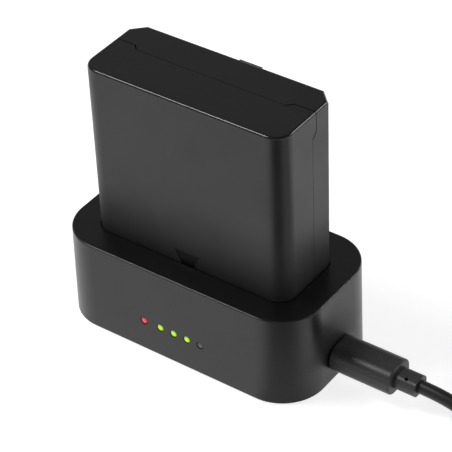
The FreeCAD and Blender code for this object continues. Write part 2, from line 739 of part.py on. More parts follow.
def make_contacts():
    """Knife contacts in a carrier on the board, and the clips in the battery that grip them."""
    body = new_body("contact_carrier")
    outline = new_sketch(body, "XY_Plane", BOARD_TOP_Z)
    rectangle(
        outline,
        f"{CONTACT_X} - Sizes.carrier_length / 2",
        f"{CONTACT_X} + Sizes.carrier_length / 2",
        "-Sizes.carrier_width / 2",
        "Sizes.carrier_width / 2",
    )
    pad(body, outline, f"{WELL_UNDER_Z} - {BOARD_TOP_Z}")
    slots = new_sketch(body, "XY_Plane", BOARD_TOP_Z)
    contact_slots(
        slots,
        "(Sizes.blade_width + 2 * Sizes.blade_fit)",
        "(Sizes.blade_thickness + 2 * Sizes.blade_fit)",
    )
    pocket(body, slots, f"{WELL_UNDER_Z} - {BOARD_TOP_Z}")
    keep(body, "contact_carrier")
    for name, y in CONTACTS.items():
        blade = block(
            f"contact_blade_{name}",
            f"{CONTACT_X} - Sizes.blade_width / 2",
            f"{y} - Sizes.blade_thickness / 2",
            BOARD_TOP_Z,
            "Sizes.blade_width",
            "Sizes.blade_thickness",
            f"{WELL_Z} + Sizes.blade_rise - {BOARD_TOP_Z}",
        )
        keep(blade, f"contact_blade_{name}")
        make_clip(name, y)


def make_clip(name, y):
    """Spring clip, open below, with a flat leg to the protection board."""
    body = new_body(f"battery_terminal_{name}")
    inner = "(Sizes.blade_thickness / 2 + Sizes.blade_fit)"
    outer = f"({inner} + Sizes.clip_leaf)"
    under = f"({CLIP_TOP_Z} - Sizes.clip_leaf)"
    start = f"({CONTACT_X} - Sizes.blade_width / 2)"
    section = new_sketch(body, "YZ_Plane", start)
    polygon(
        section,
        [
            (f"{y} - {outer}", BATTERY_FLOOR_Z),
            (f"{y} - {inner}", BATTERY_FLOOR_Z),
            (f"{y} - {inner}", under),
            (f"{y} + {inner}", under),
            (f"{y} + {inner}", BATTERY_FLOOR_Z),
            (f"{y} + {outer}", BATTERY_FLOOR_Z),
            (f"{y} + {outer}", CLIP_TOP_Z),
            (f"{y} - {outer}", CLIP_TOP_Z),
        ],
    )
    pad(body, section, "Sizes.blade_width")
    leg = new_sketch(body, "YZ_Plane", f"{start} + Sizes.blade_width")
    rectangle(leg, f"{y} - {outer}", f"{y} + {outer}", under, CLIP_TOP_Z)
    pad(body, leg, f"{PROTECTION_X} - Sizes.protection_thickness - {start} - Sizes.blade_width")
    keep(body, f"battery_terminal_{name}")


def make_battery_case():
    """The whole case, with its latch rib, insertion mark and contact slots, before it is split."""
    body = new_body("battery_case")
    outline = new_sketch(body, "XY_Plane", WELL_Z)
    battery_outline(outline)
    pad(body, outline, BATTERY_HEIGHT)
    soften(body, "Fillet", "Sizes.battery_edge", level_at(BATTERY_TOP_Z))
    soften(body, "Fillet", "Sizes.battery_edge", level_at(WELL_Z))

    latch = new_sketch(body, "YZ_Plane", "Sizes.latch_x - Sizes.latch_length / 2")
    proud = f"({BATTERY_BACK} + Sizes.latch_proud)"
    root = f"({BATTERY_BACK} - Sizes.battery_edge)"
    upper = f"({BATTERY_TOP_Z} - Sizes.latch_drop)"
    polygon(
        latch,
        [
            (root, upper),
            (root, f"{BATTERY_TOP_Z} - Sizes.latch_height"),
            (BATTERY_BACK, f"{BATTERY_TOP_Z} - Sizes.latch_height"),
            (proud, f"{BATTERY_TOP_Z} - Sizes.latch_land"),
            (proud, upper),
        ],
    )
    pad(body, latch, "Sizes.latch_length")

    hollow = new_sketch(body, "XY_Plane", BATTERY_FLOOR_Z)
    battery_outline(hollow, "(-Sizes.battery_wall)")
    pocket(body, hollow, f"{BATTERY_ROOF_Z} - {BATTERY_FLOOR_Z}")
    slots = new_sketch(body, "XY_Plane", BATTERY_FLOOR_Z)
    contact_slots(
        slots,
        "(Sizes.blade_width + 4 * Sizes.blade_clearance)",
        "(Sizes.blade_thickness + 2 * Sizes.blade_clearance)",
    )
    pocket(body, slots, "Sizes.battery_wall", forward=False)

    mark = new_sketch(body, "XZ_Plane", f"-{BATTERY_FRONT}")
    base = f"({TOP_Z} + Sizes.mark_rise)"
    tip = f"{base} - Sizes.mark_length"
    polygon(mark, [("-Sizes.mark_width / 2", base), ("0", tip), ("Sizes.mark_width / 2", base)])
    pocket(body, mark, "Sizes.mark_depth", forward=False)
    return body


def lug(name, side, gap):
    """Zone of the front shell's lug at one top corner, with its inner and lower faces at 45 degrees."""
    wedge = doc.addObject("Part::Wedge", name)
    inner = f"({LUG_X} - {gap})"
    lower = f"({LUG_Z} - {gap})"
    beyond = f"({BATTERY_X} + Sizes.lug_step)"
    faces = {
        "Ymin": SEAM_Y,
        "Ymax": f"{SEAM_Y} + Sizes.lug_step + {gap}",
        "Zmin": f"{lower} - Sizes.lug_step - {gap}",
        "Zmax": f"{BATTERY_TOP_Z} + Sizes.lug_step",
        "Z2min": lower,
        "Z2max": f"{BATTERY_TOP_Z} + Sizes.lug_step",
    }
    if side == "right":
        faces.update({"Xmin": f"{inner} - Sizes.lug_step - {gap}", "X2min": inner})
        faces.update({"Xmax": beyond, "X2max": beyond})
    else:
        faces.update({"Xmin": f"-{beyond}", "X2min": f"-{beyond}"})
        faces.update({"Xmax": f"Sizes.lug_step + {gap} - {inner}", "X2max": f"-{inner}"})
    for face, place in faces.items():
        wedge.setExpression(face, place)
    return wedge


def front_zone(name, gap):
    """All that lies in front of the seam, with the two lugs, moved back by gap."""
    reach = "Sizes.lug_step"
    half = block(
        f"{name}_half",
        f"-{BATTERY_X} - {reach}",
        f"{BATTERY_FRONT} - {reach}",
        f"{WELL_Z} - {reach}",
        f"{BATTERY_LENGTH} + 2 * {reach}",
        f"{SEAM_Y} - {BATTERY_FRONT} + {reach} + {gap[0]}",
        f"{BATTERY_HEIGHT} + 2 * {reach}",
    )
    lugs = [lug(f"{name}_lug_{side}", side, gap[1]) for side in ("left", "right")]
    return combine("MultiFuse", name, [half, *lugs])


def make_battery_shells():
    """The two halves of the battery case, parted along the seam with a fine gap."""
    case = make_battery_case()
    front = doc.addObject("Part::Common", "battery_front_shell")
    front.Base = case
    front.Tool = front_zone("front_shell_zone", ("0", "0"))
    keep(front, "battery_front_shell")
    back = doc.addObject("Part::Cut", "battery_back_shell")
    back.Base = case
    back.Tool = front_zone("back_shell_limit", ("Sizes.seam_gap", "Sizes.lug_gap"))
    keep(back, "battery_back_shell")


def make_cells():
    """Two cells in series, one standing on its head, with their straps, board and foam."""
    can = "(Sizes.cell_length - Sizes.cell_button_height)"
    upright = (CELL_LEFT_X, CELL_Z, f"{CELL_Z} + {can}")
    inverted = (CELL_RIGHT_X, f"{CELL_Z} + Sizes.cell_button_height", CELL_Z)
    for name, (x, can_z, button_z) in {"battery_cell_left": upright, "battery_cell_right": inverted}.items():
        tube = upright_cylinder(f"{name}_can", x, CELL_Y, can_z, "Sizes.cell_diameter", can)
        button = upright_cylinder(
            f"{name}_button", x, CELL_Y, button_z, "Sizes.cell_button_diameter", "Sizes.cell_button_height"
        )
        keep(combine("MultiFuse", name, [tube, button]), name)

    strap_y = f"{CELL_Y} - Sizes.tab_width / 2"
    link = block(
        "series_link",
        f"{CELL_LEFT_X} - Sizes.tab_width / 2",
        strap_y,
        CELL_TOP_Z,
        f"{CELL_RIGHT_X} - {CELL_LEFT_X} + Sizes.tab_width",
        "Sizes.tab_width",
        "Sizes.tab_thickness",
    )
    keep(link, "series_link")
    negative = block(
        "negative_tab",
        PROTECTION_X,
        strap_y,
        f"{CELL_Z} - Sizes.tab_thickness",
        f"{CELL_LEFT_X} + Sizes.tab_width / 2 - {PROTECTION_X}",
        "Sizes.tab_width",
        "Sizes.tab_thickness",
    )
    keep(negative, "negative_tab")
    insulator = block(
        "insulator_sheet",
        f"{CELL_LEFT_X} - {CELL_RADIUS}",
        f"{CELL_Y} - Sizes.insulator_width / 2",
        f"{BATTERY_FLOOR_Z} + Sizes.tab_thickness",
        "Sizes.cell_diameter",
        "Sizes.insulator_width",
        "Sizes.insulator_thickness",
    )
    keep(insulator, "insulator_sheet")
    make_positive_tab()

    board_depth = "(Sizes.cell_diameter - 2 * Sizes.protection_inset)"
    board = block(
        "protection_board",
        f"{PROTECTION_X} - Sizes.protection_thickness",
        f"{CELL_Y} - {board_depth} / 2",
        BATTERY_FLOOR_Z,
        "Sizes.protection_thickness",
        board_depth,
        "Sizes.cell_length - Sizes.protection_drop",
    )
    keep(board, "protection_board")
    foam = block(
        "foam_pad",
        f"{CELL_LEFT_X} - {CELL_RADIUS}",
        f"{CELL_Y} - Sizes.foam_width / 2",
        f"{CELL_TOP_Z} + Sizes.tab_thickness",
        f"{CELL_RIGHT_X} - {CELL_LEFT_X} + Sizes.cell_diameter",
        "Sizes.foam_width",
        "Sizes.foam_thickness",
    )
    keep(foam, "foam_pad")


def make_positive_tab():
    """Strap on the case floor that passes under the left cell and steps up to the right one."""
    body = new_body("positive_tab")
    low, high = BATTERY_FLOOR_Z, f"({CELL_Z} - Sizes.tab_thickness)"
    foot = f"({CELL_LEFT_X} + {CELL_RADIUS} + Sizes.cell_gap)"
    knee = f"({foot} + {high} - {low})"
    end = f"({CELL_RIGHT_X} + Sizes.tab_width / 2)"
    section = new_sketch(body, "XZ_Plane", f"Sizes.tab_width / 2 - {CELL_Y}")
    polygon(
        section,
        [
            (PROTECTION_X, low),
            (f"{foot} + Sizes.tab_thickness", low),
            (f"{knee} + Sizes.tab_thickness", high),
            (end, high),
            (end, CELL_Z),
            (knee, CELL_Z),
            (foot, f"{low} + Sizes.tab_thickness"),
            (PROTECTION_X, f"{low} + Sizes.tab_thickness"),
        ],
    )
    pad(body, section, "Sizes.tab_width", forward=False)
    keep(body, "positive_tab")


def make_usb_socket():
    """Folded metal shell on the board's edge, round a moulded tongue."""
    shell = new_body("usb_socket_shell")
    outside = new_sketch(shell, "YZ_Plane", SOCKET_BACK_X)
    rounded_rectangle(
        outside, "Sizes.socket_width", "Sizes.socket_height", "Sizes.socket_corner", centre_y=USB_Z
    )
    pad(shell, outside, "Sizes.socket_length")
    bore = new_sketch(shell, "YZ_Plane", SOCKET_BACK_X)
    rounded_rectangle(bore, SOCKET_BORE_WIDTH, SOCKET_BORE_HEIGHT, SOCKET_BORE_CORNER, centre_y=USB_Z)
    pocket(shell, bore, "Sizes.socket_length")
    keep(shell, "usb_socket_shell")

    tongue = new_body("usb_socket_tongue")
    base = new_sketch(tongue, "YZ_Plane", SOCKET_BACK_X)
    rounded_rectangle(base, SOCKET_BORE_WIDTH, SOCKET_BORE_HEIGHT, SOCKET_BORE_CORNER, centre_y=USB_Z)
    pad(tongue, base, "Sizes.tongue_base")
    blade = new_sketch(tongue, "YZ_Plane", f"{SOCKET_BACK_X} + Sizes.tongue_base")
    rectangle(
        blade,
        "-Sizes.tongue_width / 2",
        "Sizes.tongue_width / 2",
        f"{USB_Z} - Sizes.tongue_thickness / 2",
        f"{USB_Z} + Sizes.tongue_thickness / 2",
    )
    pad(tongue, blade, "Sizes.tongue_length")
    keep(tongue, "usb_socket_tongue")


# The small hole in the strain relief points up and forward, in degrees from upright.
VENT_TILT = 18


def make_usb_plug():
    """Small plug in the socket: metal shell, insert with a slot for the tongue, and the moulded grip."""
    reach = f"({OVERMOLD_X} - {PLUG_TIP_X})"
    corner = f"({SOCKET_BORE_CORNER} - Sizes.plug_clearance)"
    bore = [f"({PLUG_WIDTH} - 2 * Sizes.plug_wall)", f"({PLUG_HEIGHT} - 2 * Sizes.plug_wall)"]
    shell = new_body("usb_plug_shell")
    outside = new_sketch(shell, "YZ_Plane", PLUG_TIP_X)
    rounded_rectangle(outside, PLUG_WIDTH, PLUG_HEIGHT, corner, centre_y=USB_Z)
    pad(shell, outside, reach)
    inside = new_sketch(shell, "YZ_Plane", PLUG_TIP_X)
    rectangle(
        inside,
        f"-{bore[0]} / 2",
        f"{bore[0]} / 2",
        f"{USB_Z} - {bore[1]} / 2",
        f"{USB_Z} + {bore[1]} / 2",
    )
    pocket(shell, inside, reach)
    keep(shell, "usb_plug_shell")

    insert = new_body("usb_plug_insert")
    fill = new_sketch(insert, "YZ_Plane", PLUG_TIP_X)
    rectangle(
        fill,
        f"-{bore[0]} / 2",
        f"{bore[0]} / 2",
        f"{USB_Z} - {bore[1]} / 2",
        f"{USB_Z} + {bore[1]} / 2",
    )
    pad(insert, fill, reach)
    slot = new_sketch(insert, "YZ_Plane", PLUG_TIP_X)
    rectangle(
        slot,
        "-Sizes.tongue_width / 2 - Sizes.plug_slot_clearance",
        "Sizes.tongue_width / 2 + Sizes.plug_slot_clearance",
        f"{USB_Z} - Sizes.tongue_thickness / 2 - Sizes.plug_slot_clearance",
        f"{USB_Z} + Sizes.tongue_thickness / 2 + Sizes.plug_slot_clearance",
    )
    pocket(insert, slot, "Sizes.tongue_length")
    keep(insert, "usb_plug_insert")

    grip = new_body("usb_plug_grip")
    outline = new_sketch(grip, "YZ_Plane", OVERMOLD_X)
    rounded_rectangle(
        outline, "Sizes.overmold_width", "Sizes.overmold_height", "Sizes.overmold_corner", centre_y=USB_Z
    )
    pad(grip, outline, "Sizes.overmold_length")
    soften(grip, "Fillet", "Sizes.overmold_face_edge", across_at(OVERMOLD_X))
    soften(grip, "Fillet", "Sizes.overmold_edge", across_at(RELIEF_X))
    relief = new_sketch(grip, "YZ_Plane", RELIEF_X)
    rounded_rectangle(
        relief, "Sizes.relief_width", "Sizes.relief_height", "Sizes.relief_corner", centre_y=USB_Z
    )
    pad(grip, relief, "Sizes.relief_length")
    vent = upright_cylinder(
        "relief_vent",
        f"{CABLE_X} - Sizes.vent_from_end",
        "Sizes.relief_corner - Sizes.relief_width / 2",
        f"{USB_Z} + Sizes.relief_height / 2 - Sizes.relief_corner",
        "Sizes.vent_diameter",
        "2 * Sizes.relief_corner",
    )
    vent.Placement.Rotation = FreeCAD.Rotation(Vector(1, 0, 0), VENT_TILT)
    vented = doc.addObject("Part::Cut", "usb_plug_overmold")
    vented.Base = grip
    vented.Tool = vent
    keep(vented, "usb_plug_overmold")


# Points of the lead between the small plug and the hank: how far along X from the plug, how far of the way
# sideways to the hank's outer run, and how much of the height above that run is left.
LEAD_POINTS = (
    (0.0, 0.0, 1.0),
    (4.8, 0.0, 1.0),
    (11.2, 0.0, 0.74),
    (18.1, 0.12, 0.47),
    (24.3, 0.34, 0.26),
    (29.1, 0.66, 0.13),
    (35.2, 0.88, 0.04),
    (42.2, 1.0, 0.0),
    (48.8, 1.0, 0.0),
)


# Share of the shorter run beside a turn that the turn's arc may use.
BEND_SHARE = 0.45
# Largest part by which the lead's volume may differ from its section times its length.
VOLUME_SLACK = 0.01


def rounded_path(points):
    """A wire of straight runs with an arc at each turn."""
    edges, start = [], points[0]
    for before, corner, after in zip(points, points[1:], points[2:]):
        toward, away = (before - corner), (after - corner)
        cut = BEND_SHARE * min(toward.Length, away.Length)
        toward.normalize()
        away.normalize()
        turn = math.pi - toward.getAngle(away)
        radius = cut / math.tan(turn / 2)
        print(f"lead bend {math.degrees(turn):.1f} degrees, radius {radius:.1f}")
        middle = (toward + away).normalize()
        first, last = corner + toward * cut, corner + away * cut
        apex = corner + middle * (radius / math.cos(turn / 2) - radius)
        edges += [Part.LineSegment(start, first).toShape(), Part.Arc(first, apex, last).toShape()]
        start = last
    edges.append(Part.LineSegment(start, points[-1]).toShape())
    return Part.Wire(edges)


def make_cable():
    """Lead from the small plug to the hank, as one tube."""
    start = Vector(value(CABLE_X), 0, value(USB_Z))
    end = Vector(value(HANK_START_X), value(HANK_ENTRY_Y), value(HANK_ENTRY_Z))
    stretch = (end.x - start.x) / LEAD_POINTS[-1][0]
    points = [
        Vector(start.x + along * stretch, end.y * sideways, end.z + (start.z - end.z) * left)
        for along, sideways, left in LEAD_POINTS
    ]
    path = rounded_path(points)
    radius = value("Sizes.cable_diameter / 2")
    section = Part.Wire([Part.Circle(start, Vector(1, 0, 0), radius).toShape()])
    tube = path.makePipeShell([section], True, False)
    expected = math.pi * radius**2 * path.Length
    if abs(tube.Volume - expected) > VOLUME_SLACK * expected:
        raise RuntimeError("the lead's volume isn't its section times its length")
    put_away = value(f"Sizes.hank_run + {HANK_ENTRY} + {HANK_EXIT}")
    for turns, widest in (("lower", HANK_OUTER_RADIUS), ("upper", HANK_EXIT_RADIUS)):
        turn = value("2 * Sizes.hank_run") + math.pi * value(f"Sizes.hank_inner_radius + {widest}")
        put_away += turn * value(f"Sizes.hank_{turns}_turns")
    print(f"lead {path.Length:.1f} to the hank, {path.Length + put_away:.0f} in all")
    cable = doc.addObject("Part::Feature", "usb_cable")
    cable.Shape = tube
    keep(cable, "usb_cable")


def make_hank():
    """Outer shape of the folded lead, with a stub at each end, and the lapped tie round one side."""
    body = new_body("cable_hank")
    outline = new_sketch(body, "XY_Plane", "Sizes.tie_thickness")
    slot_outline(outline, HANK_RIM)
    pad(body, outline, HANK_HEIGHT)
    eye = new_sketch(body, "XY_Plane", "Sizes.tie_thickness")
    slot_outline(eye, HANK_EYE)
    pocket(body, eye, HANK_HEIGHT)
    soften(body, "Chamfer", "Sizes.hank_corner", level_at("Sizes.tie_thickness"))
    soften(body, "Chamfer", "Sizes.hank_corner", level_at(HANK_TOP_Z))
    entry = new_sketch(body, "YZ_Plane", HANK_START_X)
    circles(entry, [(HANK_ENTRY_Y, HANK_ENTRY_Z)], "Sizes.cable_diameter")
    pad(body, entry, HANK_ENTRY)
    leaving = new_sketch(body, "YZ_Plane", HANK_NEAR_X)
    circles(leaving, [(HOST_Y, HOST_Z)], "Sizes.cable_diameter")
    pad(body, leaving, HANK_EXIT, forward=False)
    keep(body, "cable_hank")

    tie = new_body("hank_tie")
    start = f"(({HANK_NEAR_X} + {HANK_FAR_X} - Sizes.tie_width) / 2)"
    width = f"({HANK_RIM} - {HANK_EYE})"
    middle = f"(Sizes.hank_side + ({HANK_RIM} + {HANK_EYE}) / 2)"
    half_way_up = f"(Sizes.tie_thickness + {HANK_HEIGHT} / 2)"
    band = new_sketch(tie, "YZ_Plane", start)
    rounded_rectangle(
        band,
        f"({width} + 2 * Sizes.tie_thickness)",
        f"({HANK_HEIGHT} + 2 * Sizes.tie_thickness)",
        "(Sizes.hank_corner + Sizes.tie_thickness)",
        middle,
        half_way_up,
    )
    pad(tie, band, "Sizes.tie_width")
    hole = new_sketch(tie, "YZ_Plane", start)
    rounded_rectangle(hole, width, HANK_HEIGHT, "Sizes.hank_corner", middle, half_way_up)
    pocket(tie, hole, "Sizes.tie_width")
    lap = new_sketch(tie, "YZ_Plane", start)
    rectangle(
        lap,
        f"{middle} - Sizes.tie_lap / 2",
        f"{middle} + Sizes.tie_lap / 2",
        f"{HANK_TOP_Z} + Sizes.tie_thickness",
        f"{HANK_TOP_Z} + 2 * Sizes.tie_thickness",
    )
    pad(tie, lap, "Sizes.tie_width")
    keep(tie, "hank_tie")


def host_edge_at(place):
    """A test for the outer edges of the large plug's grip at one of its ends, clear of the relief."""
    reach = value("Sizes.host_relief_width / 2")
    middle = value(HOST_Y)
    lies_across = across_at(place)

    def chosen(edge):
        point = edge.valueAt((edge.FirstParameter + edge.LastParameter) / 2)
        clear = max(abs(point.y - middle) - reach, abs(point.z - value(HOST_Z)) - reach)
        return lies_across(edge) and clear > 0

    return chosen


def make_host_plug():
    """Large plug on the far end: moulded grip, folded metal shell with its windows, and the insert in it."""
    grip = new_body("usb_a_overmold")
    relief = new_sketch(grip, "YZ_Plane", HOST_X)
    rounded_rectangle(
        relief,
        "Sizes.host_relief_width",
        "Sizes.host_relief_height",
        "Sizes.host_relief_corner",
        HOST_Y,
        HOST_Z,
    )
    pad(grip, relief, "Sizes.host_relief_length", forward=False)
    outline = new_sketch(grip, "YZ_Plane", HOST_BODY_X)
    rounded_rectangle(outline, "Sizes.host_width", "Sizes.host_height", "Sizes.host_corner", HOST_Y, HOST_Z)
    pad(grip, outline, "Sizes.host_length", forward=False)
    for end in (HOST_BODY_X, HOST_FACE_X):
        soften(grip, "Fillet", "Sizes.host_edge", host_edge_at(end))
    keep(grip, "usb_a_overmold")

    shell = new_body("usb_a_shell")
    size = ("Sizes.host_shell_width", "Sizes.host_shell_height")
    bore = [f"({side} - 2 * Sizes.host_shell_wall)" for side in size]
    outside = new_sketch(shell, "YZ_Plane", HOST_FACE_X)
    rounded_rectangle(outside, *size, "Sizes.host_shell_corner", HOST_Y, HOST_Z)
    pad(shell, outside, "Sizes.host_shell_length", forward=False)
    inside = new_sketch(shell, "YZ_Plane", HOST_FACE_X)
    floor = f"({HOST_Z} - {bore[1]} / 2)"
    left, right = f"{HOST_Y} - {bore[0]} / 2", f"{HOST_Y} + {bore[0]} / 2"
    rectangle(inside, left, right, floor, f"{floor} + {bore[1]}")
    pocket(shell, inside, "Sizes.host_shell_length", forward=False)
    windows = new_sketch(shell, "XY_Plane", f"{HOST_Z} - Sizes.host_shell_height / 2")
    start = f"({HOST_FACE_X} - Sizes.host_shell_length + Sizes.host_window_from_tip)"
    for side in ("-", "+"):
        middle = f"({HOST_Y} {side} Sizes.host_window_spacing / 2)"
        rectangle(
            windows,
            start,
            f"{start} + Sizes.host_window",
            f"{middle} - Sizes.host_window / 2",
            f"{middle} + Sizes.host_window / 2",
        )
    pocket(shell, windows, "Sizes.host_shell_height")
    keep(shell, "usb_a_shell")

    insert = new_body("usb_a_insert")
    tongue = new_sketch(insert, "YZ_Plane", HOST_FACE_X)
    rectangle(tongue, left, right, floor, f"{floor} + Sizes.host_tongue_thickness")
    pad(insert, tongue, "Sizes.host_shell_length - Sizes.host_shell_wall", forward=False)
    keep(insert, "usb_a_insert")


def write_parts():
    """Check the document and each sub-part, then write one STEP file for each."""
    doc.recompute()
    failed = [item.Name for item in doc.Objects if {"Invalid", "Error"} & set(item.State)]
    if failed:
        raise RuntimeError(f"these objects failed: {failed}")
    for part in PARTS:
        if part.Shape.isNull() or not part.Shape.isValid() or part.Shape.Volume <= 0:
            raise RuntimeError(f"{part.Label} has no valid shape")
    os.makedirs("parts", exist_ok=True)
    for part in PARTS:
        part.Shape.exportStep(f"parts/{part.Label}.step")
    print(f"{len(PARTS)} sub-parts written")


make_charger_housing()
make_base_cover()
make_screws_and_feet()
make_circuit_board()
make_leds()
make_contacts()
make_battery_shells()
make_cells()
make_usb_socket()
make_usb_plug()
make_cable()
make_hank()
make_host_plug()
write_parts()
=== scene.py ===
"""Looks of a desk charger for a flash battery: lead, materials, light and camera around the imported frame.

Lengths are in metres, angles in degrees and colours linear. The origin lies on the table under the middle
of the charger: +X points to the end with the USB socket, -Y to the front with the row of lights, +Z up.
"""

import bpy
import json
import math
from mathutils import Matrix, Vector


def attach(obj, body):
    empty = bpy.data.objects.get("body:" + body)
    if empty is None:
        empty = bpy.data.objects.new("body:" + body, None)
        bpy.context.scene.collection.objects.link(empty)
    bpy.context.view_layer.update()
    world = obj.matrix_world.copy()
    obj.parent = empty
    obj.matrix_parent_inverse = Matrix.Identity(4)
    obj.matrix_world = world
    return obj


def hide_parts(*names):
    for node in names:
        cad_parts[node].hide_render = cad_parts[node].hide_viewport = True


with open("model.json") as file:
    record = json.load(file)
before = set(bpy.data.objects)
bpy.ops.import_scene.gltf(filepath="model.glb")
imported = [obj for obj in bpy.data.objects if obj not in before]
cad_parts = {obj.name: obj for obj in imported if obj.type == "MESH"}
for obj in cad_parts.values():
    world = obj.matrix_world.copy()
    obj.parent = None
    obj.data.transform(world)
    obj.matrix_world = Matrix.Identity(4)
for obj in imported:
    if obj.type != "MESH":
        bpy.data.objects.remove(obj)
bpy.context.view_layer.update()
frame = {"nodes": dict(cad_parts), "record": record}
nodes = frame["nodes"]

# Camera, fitted to the edges of the charger and the battery in the photograph.
CAMERA_AZIMUTH = 37.456
CAMERA_ELEVATION = 38.557
CAMERA_ROLL = -2.828
CAMERA_DISTANCE = 0.48986
CAMERA_TARGET = Vector((0, 0, 0.02515))
CAMERA_LENS_MM = 165.45
CAMERA_SHIFT = (0.0250, 0.0310)

# Lead: where it runs from the small plug to the hank, and how the hank is folded.
LEAD_DIAMETER = 0.0033
LEAD_STEPS_ROUND = 6
LEAD_STEPS_ALONG = 6
LEAD_CURVE_ORDER = 3
LEAD_ROUTE = (
    (0.05692, 0, 0.0071),
    (0.06172, 0, 0.0071),
    (0.06812, 0, 0.00585),
    (0.07502, -0.00204, 0.00456),
    (0.08122, -0.00578, 0.00355),
    (0.08602, -0.01122, 0.00292),
    (0.09212, -0.01496, 0.00249),
    (0.09912, -0.0170, 0.0023),
    (0.10572, -0.0170, 0.0023),
)
HANK_NEAR_X = 0.11672
HANK_RUN = 0.054
HANK_OUTER_RADIUS = 0.0170
HANK_INNER_RADIUS = 0.0104
HANK_LOWER_TURNS = 2
HANK_HALF_TURNS = 7
HANK_LOWER_Z = 0.0023
HANK_UPPER_Z = 0.0056
CLIMB_START = 1.85
CLIMB_END = 2.2
RUN_POINTS = 2
FOLD_POINTS = 8
LEAD_END = (
    (0.1450, 0.01535, 0.0056),
    (0.1250, 0.01535, 0.0056),
    (0.1165, 0.01535, 0.0054),
    (0.1105, 0.01535, 0.0043),
    (0.1024, 0.01535, 0.0042),
)

# Strap drawn tight round the back runs of the hank: where it is along the hank, its middle and half sizes
# across, and how far it laps over itself.
STRAP_X = (0.14082, 0.14662)
STRAP_MIDDLE = (0.01344, 0.00395)
STRAP_HALF = (0.00389, 0.00365)
STRAP_CORNER = 0.0016
STRAP_STEPS = 6
STRAP_THICKNESS = 0.00046
STRAP_LAYER = 0.0005
STRAP_LAP = 0.0022
STRAP_EDGE = STRAP_THICKNESS / 4
STRAP_EDGE_STEPS = 2

# Mouldings and rubbers: colour, roughness, grain size and grain depth.
MOULDINGS = {
    "housing_plastic": ((0.004, 0.004, 0.0043), 0.34, 0.0003, 0.00001),
    "battery_plastic": ((0.004, 0.004, 0.0043), 0.4, 0.00022, 0.00001),
    "cover_plastic": ((0.019, 0.019, 0.020), 0.48, 0.00035, 0.000015),
    "chip_resin": ((0.03, 0.03, 0.03), 0.55, 0.0002, 0.00001),
    "ferrite": ((0.12, 0.12, 0.12), 0.6, 0.0003, 0.00002),
    "ceramic": ((0.55, 0.42, 0.28), 0.35, 0.0002, 0.000005),
    "cell_sleeve": ((0.1, 0.2, 0.5), 0.25, 0.001, 0.00001),
    "insulator_card": ((0.75, 0.72, 0.6), 0.8, 0.0004, 0.00002),
    "plug_plastic": ((0.036, 0.036, 0.0365), 0.42, 0.0004, 0.00004),
    "insert_plastic": ((0.02, 0.02, 0.02), 0.35, 0.0003, 0.00001),
    "cable_jacket": ((0.005, 0.005, 0.0054), 0.48, 0.0005, 0.000008),
}
RUBBERS = {
    "foot_rubber": ((0.025, 0.025, 0.025), 0.75, 0.0004, 0.00002),
    "foam": ((0.05, 0.05, 0.05), 0.9, 0.0008, 0.0003),
}

# Metals: colour, roughness, and how much closer together their lines lie along each axis.
METALS = {
    "steel": ((0.62, 0.61, 0.60), 0.28, (1, 30, 30)),
    "contact_brass": ((0.75, 0.58, 0.28), 0.25, (30, 30, 1)),
}

# Lights: colour, strength of their glow, and shade of their rim, a painted shade that also dims the glow
# there.
LENSES = {
    "red_lens": ((1.0, 0.075, 0.085), 0.62, 0.28),
    "green_lens": ((0.52, 0.86, 0.06), 0.62, 0.5),
    "grey_lens": ((0.11, 0.105, 0.125), 0, 0.5),
}
BOARD_GREEN = (0.02, 0.12, 0.05)
STRAP_BLACK = (0.03, 0.03, 0.03)

# Noises: the levels between which a noise is spread out, and the detail of each kind.
NOISE_LEVELS = (0.3, 0.7)
PLAIN_DETAIL = 2.0
GRAIN_DETAIL = 3.0
LINE_DETAIL = 4.0
PATCH_DETAIL = 5.0

# Sizes, shades and gloss of what the materials show. A pair of shades is the darkest and the lightest, as
# shares of the colour. A track's share is of its pitch.
PATCH_SIZE = 0.012
GLOSS_SPREAD = 0.05
DARK_PATCH_SHADES = (0.55, 1.1)
LIGHT_PATCH_SHADES = (0.9, 1.45)
DUST_SPACING = 0.007
DUST_SIZE = 0.00013
DUST_COLOUR = (0.2, 0.2, 0.19, 1)
RUBBER_SHEEN = 0.05
LINE_SIZE = 0.004
LINE_DEPTH = 0.000004
METAL_SHADES = (0.85, 1.08)
METAL_GLOSS_SPREAD = 0.08
LENS_CLOUD = 0.0012
LENS_SHADES = (0.85, 1.1)
LENS_RIPPLE = 0.0004
LENS_DEPTH = 0.00001
LENS_BODY_WIDTH = 0.003
LENS_AXIS_Z = 0.00905
LENS_RIM = (0.0004, 0.0009)
LENS_ROUGHNESS = 0.22
LENS_SPECULAR = 0.2
TRACK_PITCH = 0.006
TRACK_SHARE = 0.06
TRACK_DEPTH = 0.00003
TRACK_SHADE = 1.7
BOARD_SHADES = (0.8, 1)
BOARD_ROUGHNESS = (0.25, 0.4)
THREAD_PITCH = 0.0008
THREAD_DEPTH = 0.0001
THREAD_WANDER = 1.5
PILE_SIZE = 0.0003
PILE_SHADES = (0.6, 1.5)
PILE_ROUGHNESS = (0.8, 0.95)
PILE_SHEEN = 0.3

# Triangular recess that marks the way in on the battery's front, with a smooth floor and walls coloured
# lighter as painted light that lifts the shade in the recess: its outline, the plane it lies in front of,
# its roughness, and how its walls are found and coloured.
MARK_HALF_WIDTH = 0.0036
MARK_BASE_Z = 0.02875
MARK_LENGTH = 0.0086
MARK_FACE_Y = -0.0106
MARK_ROUGHNESS = 0.38
MARK_MARGIN = 1.1
MARK_WALL_TILT = 0.7
MARK_WALL_PAINTED_LIGHT = (0.075, 0.075, 0.075, 1)

# Lower part of the battery, scuffed by the well: the heights between which the scuffs fade, and the
# roughness that they add.
SCUFF_Z = (0.028, 0.046)
SCUFF_ROUGHNESS = 0.25

